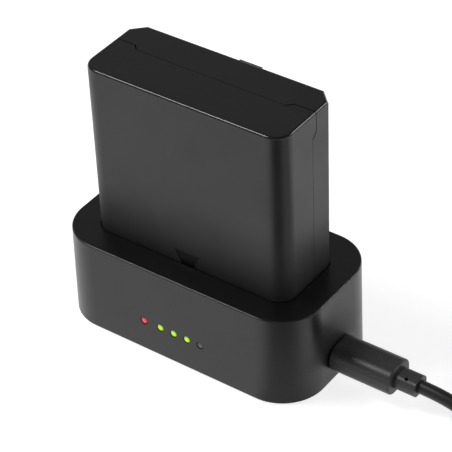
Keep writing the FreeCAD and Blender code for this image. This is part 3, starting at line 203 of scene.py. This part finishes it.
# End of the charger, scuffed by plugging in: the middle of the scuffs across and up, where the end starts,
# the distances and the heights between which the scuffs fade, and the roughness that they add.
SOCKET_MIDDLE = (-0.003, 0.0105)
SOCKET_END_X = 0.03
SOCKET_SCUFF = (0.005, 0.0125)
SOCKET_FOOT_Z = (0.0070, 0.0105)
SOCKET_ROUGHNESS = 0.22

# Rounded top edges, rubbed smooth by handling: the height where each starts and its roughness, and the
# upward tilts between which an edge becomes a flat top.
BATTERY_EDGE = (0.0701, 0.21)
HOUSING_EDGE = (0.0247, 0.29)
RUBBED_TILT = (0.97, 0.995)

# Softboxes at the front left and at the right behind, which the rounded top edges reflect as bright lines:
# azimuth, elevation, strength and width.
SOFTBOXES = {
    "left_softbox": (-57, 55, 1.2, 18),
    "right_softbox": (139, 27, 0.6, 14),
}

# White paper under the object: how much the eye and gloss see it lifted, which falls off along an azimuth
# as painted shade that gloss sees behind on the right.
WHITE = (1, 1, 1, 1)
FLOOR_SIZE = 8.0
FLOOR_COLOUR = (0.55, 0.55, 0.55)
FLOOR_SHADES = (0.985, 1.015)
FLOOR_ROUGHNESS = 0.95
FLOOR_SPECULAR = 0.1
FLOOR_LIFT = (0.86, 0.76)
FLOOR_FALL = (-0.05, 0.06)
FLOOR_FALL_AZIMUTH = 142

# Room: its strength at the horizon and above, and the heights on the sky's unit sphere between which it
# fades.
WORLD_STRENGTH = (1.0, 0.2)
WORLD_FADE = (0.1, 0.35)

# Black card on the floor before the corner that faces the camera, which only gloss sees: a painted dark
# reflection on that corner. It fans out from the corner's axis between azimuths, and it is denser further
# out.
CARD_AXIS = (0.0234, -0.00675)
CARD_HEIGHT = 0.0003
CARD_REACH = 0.25
CARD_RISE = (-10, 18)
CARD_FALL = (48, 92)
CARD_DISTANCE = (0.012, 0.060)
CARD_DENSITY = (0.4, 0.85)
PAINTED_REFLECTION_COLOUR = (0.01, 0.01, 0.01, 1)


def direction(azimuth, elevation):
    """Unit vector from the object towards an azimuth, counted from the front, and an elevation."""
    a, e = math.radians(azimuth), math.radians(elevation)
    return Vector((math.sin(a) * math.cos(e), -math.cos(a) * math.cos(e), math.sin(e)))


def make_camera():
    """Camera of the photograph, rolled a little about its line of sight."""
    back = direction(CAMERA_AZIMUTH, CAMERA_ELEVATION)
    roll = math.radians(CAMERA_ROLL)
    right = Vector((0, 0, 1)).cross(back).normalized()
    up = back.cross(right)
    turned_right = math.cos(roll) * right + math.sin(roll) * up
    turned_up = math.cos(roll) * up - math.sin(roll) * right
    data = bpy.data.cameras.new("photo_camera")
    data.lens = CAMERA_LENS_MM
    data.shift_x, data.shift_y = CAMERA_SHIFT
    camera = bpy.data.objects.new("photo_camera", data)
    bpy.context.scene.collection.objects.link(camera)
    turn = Matrix((turned_right, turned_up, back)).transposed().to_4x4()
    camera.matrix_world = Matrix.Translation(CAMERA_TARGET + back * CAMERA_DISTANCE) @ turn
    bpy.context.scene.camera = camera


def hank_radius(turns):
    """Radius of the folds after so many turns: the lead winds inwards below and outwards on top."""
    pitch = (HANK_OUTER_RADIUS - HANK_INNER_RADIUS) / HANK_LOWER_TURNS
    return HANK_INNER_RADIUS + pitch * abs(turns - HANK_LOWER_TURNS)


def hank_height(turns):
    """Height of the lead after so many turns: it climbs on to its own lower layer."""
    share = min(max((turns - CLIMB_START) / (CLIMB_END - CLIMB_START), 0), 1)
    return HANK_LOWER_Z + (HANK_UPPER_Z - HANK_LOWER_Z) * share * share * (3 - 2 * share)


def hank_points():
    """Points of the folded turns: a run in front, a fold on the right, a run behind, a fold on the left."""
    step = math.pi / FOLD_POINTS
    middle_x = HANK_NEAR_X + HANK_RUN / 2
    run_share = HANK_RUN / (HANK_RUN + math.pi * (HANK_OUTER_RADIUS + HANK_INNER_RADIUS) / 2)
    points = []
    for half in range(HANK_HALF_TURNS):
        side = 1 if half % 2 == 0 else -1
        for i in range(RUN_POINTS):
            along = (i + 0.5) / RUN_POINTS
            turns = (half + run_share * along) / 2
            x = middle_x + side * HANK_RUN * (along - 0.5)
            points.append((x, -side * hank_radius(turns), hank_height(turns)))
        for i in range(FOLD_POINTS):
            along = (i + 0.5) / FOLD_POINTS
            turns = (half + run_share + (1 - run_share) * along) / 2
            reach = hank_radius(turns) / math.cos(step / 2)
            angle = (i + 0.5) * step
            x = middle_x + side * (HANK_RUN / 2 + reach * math.sin(angle))
            points.append((x, -side * reach * math.cos(angle), hank_height(turns)))
    return points


def strap_path():
    """Points across the strap: once round the runs, and then over its own start a layer higher."""
    y, z = STRAP_MIDDLE
    half_width, half_height = STRAP_HALF
    corners = ((1, 1, 0), (1, -1, 0), (-1, -1, 0), (-1, 1, STRAP_LAYER))
    points = [(y - STRAP_LAP, z + half_height)]
    for number, (side, rise, lift) in enumerate(corners):
        middle_y = y + side * (half_width - STRAP_CORNER)
        middle_z = z + rise * (half_height - STRAP_CORNER) + lift
        for i in range(STRAP_STEPS + 1):
            angle = math.radians(90 - 90 * (number + i / STRAP_STEPS))
            across = middle_y + STRAP_CORNER * math.cos(angle)
            points.append((across, middle_z + STRAP_CORNER * math.sin(angle)))
    points.append((y + STRAP_LAP, z + half_height + STRAP_LAYER))
    return points


def make_strap():
    """Thin band round the back runs of the hank, in place of the plain tie of the CAD model."""
    path = strap_path()
    faces = [(2 * i, 2 * i + 1, 2 * i + 3, 2 * i + 2) for i in range(len(path) - 1)]
    mesh = bpy.data.meshes.new("hank_strap")
    mesh.from_pydata([(x, *point) for point in path for x in STRAP_X], [], faces)
    mesh.shade_smooth()
    strap = bpy.data.objects.new("hank_strap", mesh)
    bpy.context.scene.collection.objects.link(strap)
    thicken = strap.modifiers.new("thickness", "SOLIDIFY")
    thicken.thickness = STRAP_THICKNESS
    thicken.offset = 0
    soften = strap.modifiers.new("edges", "BEVEL")
    soften.width = STRAP_EDGE
    soften.segments = STRAP_EDGE_STEPS
    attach(strap, "root")
    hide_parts("hank_tie")
    return strap


def make_lead():
    """The whole lead on one smooth curve, from the small plug through the hank to the large plug."""
    curve = bpy.data.curves.new("usb_lead", "CURVE")
    curve.dimensions = "3D"
    curve.bevel_depth = 1
    curve.bevel_resolution = LEAD_STEPS_ROUND
    curve.resolution_u = LEAD_STEPS_ALONG
    curve.use_fill_caps = True
    points = [*LEAD_ROUTE, *hank_points(), *LEAD_END]
    spline = curve.splines.new("NURBS")
    spline.points.add(len(points) - 1)
    for point, position in zip(spline.points, points):
        point.co = (*position, 1)
        point.radius = LEAD_DIAMETER / 2
    spline.order_u = LEAD_CURVE_ORDER
    spline.use_endpoint_u = True
    lead = bpy.data.objects.new("usb_lead", curve)
    bpy.context.scene.collection.objects.link(lead)
    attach(lead, "root")
    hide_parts("usb_cable", "cable_hank")
    return lead


def add(tree, kind, sockets, **settings):
    """Add a shader node; a socket takes a value or the output of another node."""
    made = tree.nodes.new(f"ShaderNode{kind}")
    for name, setting in settings.items():
        setattr(made, name, setting)
    for name, given in sockets.items():
        if isinstance(given, bpy.types.NodeSocket):
            tree.links.new(given, made.inputs[name])
        else:
            made.inputs[name].default_value = given
    return made


def start(name):
    """A new material, with its node tree and its shader."""
    material = bpy.data.materials.new(name)
    material.use_nodes = True
    return material, material.node_tree, material.node_tree.nodes["Principled BSDF"]


def place(tree, stretch=(1, 1, 1)):
    """Coordinates in metres, which a stretch larger than 1 draws closer together along that axis."""
    metres = add(tree, "TexCoord", {}).outputs["Object"]
    return add(tree, "Mapping", {"Vector": metres, "Scale": stretch}).outputs["Vector"]


def split(tree, vector):
    """The three axes of a vector."""
    return add(tree, "SeparateXYZ", {"Vector": vector}).outputs


def facing(tree):
    """Axes of the direction that the surface faces."""
    return split(tree, add(tree, "TexCoord", {}).outputs["Normal"])


def length(tree, vector):
    """Length of a vector."""
    return add(tree, "VectorMath", {0: vector}, operation="LENGTH").outputs["Value"]


def noise(tree, where, size, detail):
    """Cloudy noise whose clouds have about a size."""
    return add(tree, "TexNoise", {"Vector": where, "Scale": 1 / size, "Detail": detail}).outputs["Fac"]


def spread(factor, low, high, first, last):
    """Sockets of a node that maps a factor between low and high to a number between first and last."""
    return {"Value": factor, "From Min": low, "From Max": high, "To Min": first, "To Max": last}


def vary(tree, factor, first, last):
    """A number that follows a noise from first to last."""
    return add(tree, "MapRange", spread(factor, *NOISE_LEVELS, first, last)).outputs["Result"]


def ramp(tree, factor, low, high, first, last):
    """A number that goes smoothly from first to last as a factor goes from low to high."""
    limits = spread(factor, low, high, first, last)
    return add(tree, "MapRange", limits, interpolation_type="SMOOTHSTEP").outputs["Result"]


def math_node(tree, operation, first, second=0.0):
    """A number worked out from one or two others."""
    return add(tree, "Math", {0: first, 1: second}, operation=operation).outputs["Value"]


def product(tree, first, *others):
    """Several numbers multiplied, so that masks of 0 and 1 give 1 only where all of them do."""
    for other in others:
        first = math_node(tree, "MULTIPLY", first, other)
    return first


def blend(tree, factor, first, second):
    """A colour that goes from first to second as a factor goes from 0 to 1."""
    return add(tree, "MixRGB", {"Fac": factor, "Color1": first, "Color2": second}).outputs["Color"]


def shade(colour, times):
    """A colour made darker or lighter."""
    return (*(min(channel * times, 1) for channel in colour), 1)


def shaded(tree, factor, colour, shades):
    """A colour that goes from its darkest to its lightest shade as a factor goes from 0 to 1."""
    darkest, lightest = shades
    return blend(tree, factor, shade(colour, darkest), shade(colour, lightest))


def connect(tree, shader, **sockets):
    """Link outputs to the shader's sockets, whose names are given with underscores."""
    for name, output in sockets.items():
        tree.links.new(output, shader.inputs[name.replace("_", " ")])


def raise_grain(tree, height, depth):
    """Normal of a surface that a height from 0 to 1 raises by a depth."""
    return add(tree, "Bump", {"Height": height, "Distance": depth}).outputs["Normal"]


def mark_floor(tree, where):
    """1 inside the triangle on the battery's front and 0 elsewhere."""
    axes = split(tree, where)
    slope = MARK_HALF_WIDTH / MARK_LENGTH
    tip = MARK_BASE_Z - MARK_LENGTH
    half_width = math_node(tree, "MULTIPLY", math_node(tree, "SUBTRACT", axes["Z"], tip), slope)
    beside = math_node(tree, "LESS_THAN", math_node(tree, "ABSOLUTE", axes["X"]), half_width)
    below = math_node(tree, "LESS_THAN", axes["Z"], MARK_BASE_Z)
    front = math_node(tree, "LESS_THAN", axes["Y"], MARK_FACE_Y)
    return product(tree, beside, below, front)


def mark_walls_to_light(tree, where):
    """1 on the low walls round the triangle, which get painted light, and 0 elsewhere."""
    axes = split(tree, where)
    ahead = math_node(tree, "ABSOLUTE", facing(tree)["Y"])
    sideways = math_node(tree, "LESS_THAN", ahead, MARK_WALL_TILT)
    across = math_node(tree, "ABSOLUTE", axes["X"])
    beside = math_node(tree, "LESS_THAN", across, MARK_MARGIN * MARK_HALF_WIDTH)
    below = math_node(tree, "LESS_THAN", axes["Z"], MARK_MARGIN * MARK_BASE_Z)
    front = math_node(tree, "LESS_THAN", axes["Y"], MARK_FACE_Y)
    return product(tree, sideways, beside, below, front)


def rubbed_edge(tree, where, edge_z):
    """1 on a rounded top edge that starts at a height, and 0 elsewhere."""
    above = math_node(tree, "GREATER_THAN", split(tree, where)["Z"], edge_z)
    return product(tree, above, ramp(tree, facing(tree)["Z"], *RUBBED_TILT, 1, 0))


def dust(tree, where):
    """1 on small specks and 0 elsewhere."""
    cells = add(tree, "TexVoronoi", {"Vector": where, "Scale": 1 / DUST_SPACING})
    return math_node(tree, "LESS_THAN", cells.outputs["Distance"], DUST_SIZE / DUST_SPACING)


def battery_wear_and_painted_light(tree, where, tint, gloss):
    """Colour and roughness of the battery with its scuffed lower part and its mark, whose walls get painted
    light.
    """
    # Painted light: the walls of the mark are coloured lighter to lift the shade that falls in the recess.
    tint = blend(tree, mark_walls_to_light(tree, where), tint, MARK_WALL_PAINTED_LIGHT)
    scuffs = ramp(tree, split(tree, where)["Z"], *SCUFF_Z, SCUFF_ROUGHNESS, 0)
    gloss = math_node(tree, "ADD", gloss, scuffs)
    return tint, ramp(tree, mark_floor(tree, where), 0, 1, gloss, MARK_ROUGHNESS)


def socket_wear(tree, where, tint, gloss):
    """Colour and roughness of the housing with the scuffs round its socket."""
    axes = split(tree, where)
    across = math_node(tree, "SUBTRACT", axes["Y"], SOCKET_MIDDLE[0])
    rise = math_node(tree, "SUBTRACT", axes["Z"], SOCKET_MIDDLE[1])
    offset = add(tree, "CombineXYZ", {"Y": across, "Z": rise}).outputs["Vector"]
    scuffs = ramp(tree, length(tree, offset), *SOCKET_SCUFF, SOCKET_ROUGHNESS, 0)
    on_end = math_node(tree, "GREATER_THAN", axes["X"], SOCKET_END_X)
    above_foot = ramp(tree, axes["Z"], *SOCKET_FOOT_Z, 0, 1)
    return tint, math_node(tree, "ADD", gloss, product(tree, on_end, above_foot, scuffs))


def moulded(name, colour, roughness, grain, depth, wear_and_light=None, edge=None):
    """Moulded plastic with a fine eroded grain and soft cloudy patches in its gloss.

    A moulding given a function for scuffs also has specks of dust and a rubbed top edge; on the battery
    that function also puts painted light on the walls of its mark.
    """
    material, tree, shader = start(name)
    where = place(tree)
    patches = noise(tree, where, PATCH_SIZE, PATCH_DETAIL)
    grains = noise(tree, where, grain, GRAIN_DETAIL)
    speckle = vary(tree, grains, 0, 1)
    dark = shaded(tree, speckle, colour, DARK_PATCH_SHADES)
    light = shaded(tree, speckle, colour, LIGHT_PATCH_SHADES)
    tint = blend(tree, patches, dark, light)
    gloss = vary(tree, patches, roughness - GLOSS_SPREAD, roughness + GLOSS_SPREAD)
    if wear_and_light:
        edge_z, edge_roughness = edge
        tint = blend(tree, dust(tree, where), tint, DUST_COLOUR)
        tint, gloss = wear_and_light(tree, where, tint, gloss)
        gloss = ramp(tree, rubbed_edge(tree, where, edge_z), 0, 1, gloss, edge_roughness)
    connect(tree, shader, Base_Color=tint, Roughness=gloss, Normal=raise_grain(tree, grains, depth))
    return material


def rubber(name, colour, roughness, grain, depth):
    """Soft matt skin with a faint sheen."""
    material = moulded(name, colour, roughness, grain, depth)
    material.node_tree.nodes["Principled BSDF"].inputs["Sheen Weight"].default_value = RUBBER_SHEEN
    return material


def metal(name, colour, roughness, stretch):
    """Rolled metal with fine lines drawn out along one axis."""
    material, tree, shader = start(name)
    shader.inputs["Metallic"].default_value = 1
    lines = noise(tree, place(tree, stretch), LINE_SIZE, LINE_DETAIL)
    stains = noise(tree, place(tree), PATCH_SIZE, LINE_DETAIL)
    tint = shaded(tree, stains, colour, METAL_SHADES)
    gloss = vary(tree, lines, roughness - METAL_GLOSS_SPREAD, roughness + METAL_GLOSS_SPREAD)
    connect(tree, shader, Base_Color=tint, Roughness=gloss, Normal=raise_grain(tree, lines, LINE_DEPTH))
    return material


def off_axis(tree):
    """Distance from the axis of a light, which is in the middle of its width."""
    coordinates = add(tree, "TexCoord", {}).outputs
    share = math_node(tree, "SUBTRACT", split(tree, coordinates["Generated"])["X"], 0.5)
    x = math_node(tree, "MULTIPLY", share, LENS_BODY_WIDTH)
    z = math_node(tree, "SUBTRACT", split(tree, coordinates["Object"])["Z"], LENS_AXIS_Z)
    return length(tree, add(tree, "CombineXYZ", {"X": x, "Z": z}).outputs["Vector"])


def lens(name, colour, glow, rim):
    """Clouded lens with a rim darkened by painted shade, lit from behind where it glows."""
    material, tree, shader = start(name)
    where = place(tree)
    tint = shaded(tree, noise(tree, where, LENS_CLOUD, PLAIN_DETAIL), colour, LENS_SHADES)
    # Painted shade: the lens is darker towards its rim, and on a lit lens its glow dims there too.
    tint = blend(tree, ramp(tree, off_axis(tree), *LENS_RIM, 0, 1), tint, shade(colour, rim))
    ripple = noise(tree, where, LENS_RIPPLE, PLAIN_DETAIL)
    connect(tree, shader, Base_Color=tint, Normal=raise_grain(tree, ripple, LENS_DEPTH))
    shader.inputs["Roughness"].default_value = LENS_ROUGHNESS
    if glow:
        connect(tree, shader, Emission_Color=tint)
        shader.inputs["Emission Strength"].default_value = glow
        shader.inputs["Specular IOR Level"].default_value = LENS_SPECULAR
    return material


def laminate(name, colour):
    """Circuit board: green varnish over a grid of fine tracks."""
    material, tree, shader = start(name)
    dark, plain = BOARD_SHADES
    look = {
        "Vector": place(tree),
        "Scale": 1 / TRACK_PITCH,
        "Color1": shade(colour, plain),
        "Color2": shade(colour, dark),
        "Mortar": shade(colour, TRACK_SHADE),
        "Mortar Size": TRACK_SHARE,
    }
    tracks = add(tree, "TexBrick", look).outputs
    relief = raise_grain(tree, tracks["Fac"], TRACK_DEPTH)
    gloss = vary(tree, noise(tree, place(tree), PATCH_SIZE, PLAIN_DETAIL), *BOARD_ROUGHNESS)
    connect(tree, shader, Base_Color=tracks["Color"], Roughness=gloss, Normal=relief)
    return material


def woven(name, colour):
    """Hook-and-loop strap: fine crossing threads under a fuzzy pile."""
    material, tree, shader = start(name)
    where = place(tree)
    look = {"Vector": where, "Scale": 1 / THREAD_PITCH}
    warp = add(tree, "TexWave", {**look, "Distortion": THREAD_WANDER}).outputs["Fac"]
    weft = add(tree, "TexWave", look, bands_direction="Z").outputs["Fac"]
    pile = noise(tree, where, PILE_SIZE, LINE_DETAIL)
    height = math_node(tree, "ADD", math_node(tree, "MAXIMUM", warp, weft), pile)
    tint = shaded(tree, pile, colour, PILE_SHADES)
    gloss = vary(tree, pile, *PILE_ROUGHNESS)
    connect(tree, shader, Base_Color=tint, Roughness=gloss, Normal=raise_grain(tree, height, THREAD_DEPTH))
    shader.inputs["Sheen Weight"].default_value = PILE_SHEEN
    return material


def make_materials():
    """One material for each slot of the record."""
    worn_and_lit = {
        "housing_plastic": (socket_wear, HOUSING_EDGE),
        "battery_plastic": (battery_wear_and_painted_light, BATTERY_EDGE),
    }
    materials = {name: moulded(name, *look, *worn_and_lit.get(name, ())) for name, look in MOULDINGS.items()}
    for make, looks in ((rubber, RUBBERS), (metal, METALS), (lens, LENSES)):
        materials.update({name: make(name, *look) for name, look in looks.items()})
    materials["board_laminate"] = laminate("board_laminate", BOARD_GREEN)
    materials["tie_strap"] = woven("tie_strap", STRAP_BLACK)
    return materials


def dress(materials, lead, strap):
    """Give each CAD node and each new piece the material of its slot."""
    for part in frame["record"]["subparts"]:
        mesh = nodes[part["node"]].data
        mesh.materials.clear()
        mesh.materials.append(materials[part["material_slot"]])
    lead.data.materials.append(materials["cable_jacket"])
    strap.data.materials.append(materials["tie_strap"])


def seen(tree, strength):
    """A strength for what the camera, gloss and glass see, and none for the light on the object."""
    path = add(tree, "LightPath", {}).outputs
    either = math_node(tree, "MAXIMUM", path["Is Camera Ray"], path["Is Glossy Ray"])
    any_of_three = math_node(tree, "MAXIMUM", either, path["Is Transmission Ray"])
    return product(tree, any_of_three, strength)


def make_floor():
    """White paper that fills the view. What is seen of it is lifted to white, less so behind on the right,
    which is painted shade in what gloss sees, and its shadows stay.
    """
    bpy.ops.mesh.primitive_plane_add(size=FLOOR_SIZE)
    floor = bpy.context.object
    floor.name = "floor"
    material, tree, shader = start("floor_paper")
    fibres = noise(tree, place(tree), PATCH_SIZE, PATCH_DETAIL)
    connect(tree, shader, Base_Color=shaded(tree, fibres, FLOOR_COLOUR, FLOOR_SHADES))
    shader.inputs["Roughness"].default_value = FLOOR_ROUGHNESS
    shader.inputs["Specular IOR Level"].default_value = FLOOR_SPECULAR
    shader.inputs["Emission Color"].default_value = WHITE
    # Painted shade: the lift falls off towards behind on the right.
    away = tuple(direction(FLOOR_FALL_AZIMUTH, 0))
    reach = add(tree, "VectorMath", {0: place(tree), 1: away}, operation="DOT_PRODUCT").outputs["Value"]
    connect(tree, shader, Emission_Strength=seen(tree, ramp(tree, reach, *FLOOR_FALL, *FLOOR_LIFT)))
    floor.data.materials.append(material)


def make_painted_reflection_card():
    """Card that keeps the white floor out of the reflections on the corner that faces the camera: a painted
    dark reflection there.
    """
    bpy.ops.mesh.primitive_plane_add(size=2 * CARD_REACH, location=(*CARD_AXIS, CARD_HEIGHT))
    card = bpy.context.object
    card.name = "painted_reflection_card"
    # Hidden from the camera, from diffuse light and from shadows, so that it is only a painted dark
    # reflection.
    card.visible_camera = False
    card.visible_diffuse = False
    card.visible_shadow = False
    material, tree, shader = start("painted_reflection_card")
    shader.inputs["Base Color"].default_value = PAINTED_REFLECTION_COLOUR
    shader.inputs["Specular IOR Level"].default_value = 0
    where = place(tree)
    axes = split(tree, where)
    azimuth = math_node(tree, "ARCTAN2", axes["X"], math_node(tree, "MULTIPLY", axes["Y"], -1.0))
    rise = ramp(tree, azimuth, *map(math.radians, CARD_RISE), 0, 1)
    fall = ramp(tree, azimuth, *map(math.radians, CARD_FALL), 1, 0)
    density = ramp(tree, length(tree, where), *CARD_DISTANCE, *CARD_DENSITY)
    connect(tree, shader, Alpha=product(tree, rise, fall, density))
    card.data.materials.append(material)


def make_lights():
    """Softboxes far away, as suns of some width."""
    for name, (azimuth, elevation, strength, width) in SOFTBOXES.items():
        data = bpy.data.lights.new(name, "SUN")
        data.energy = strength
        data.angle = math.radians(width)
        lamp = bpy.data.objects.new(name, data)
        bpy.context.scene.collection.objects.link(lamp)
        lamp.rotation_mode = "QUATERNION"
        lamp.rotation_quaternion = (-direction(azimuth, elevation)).to_track_quat("-Z", "Y")


def make_world():
    """Room that is white at the horizon and dim above."""
    world = bpy.data.worlds.new("studio")
    world.use_nodes = True
    bpy.context.scene.world = world
    tree = world.node_tree
    height = split(tree, add(tree, "TexCoord", {}).outputs["Generated"])["Z"]
    background = tree.nodes["Background"]
    connect(tree, background, Strength=ramp(tree, height, *WORLD_FADE, *WORLD_STRENGTH))
    background.inputs["Color"].default_value = WHITE


make_camera()
strap = make_strap()
lead = make_lead()
dress(make_materials(), lead, strap)
make_floor()
make_painted_reflection_card()
make_lights()
make_world()
bpy.context.scene.view_settings.view_transform = "Standard"
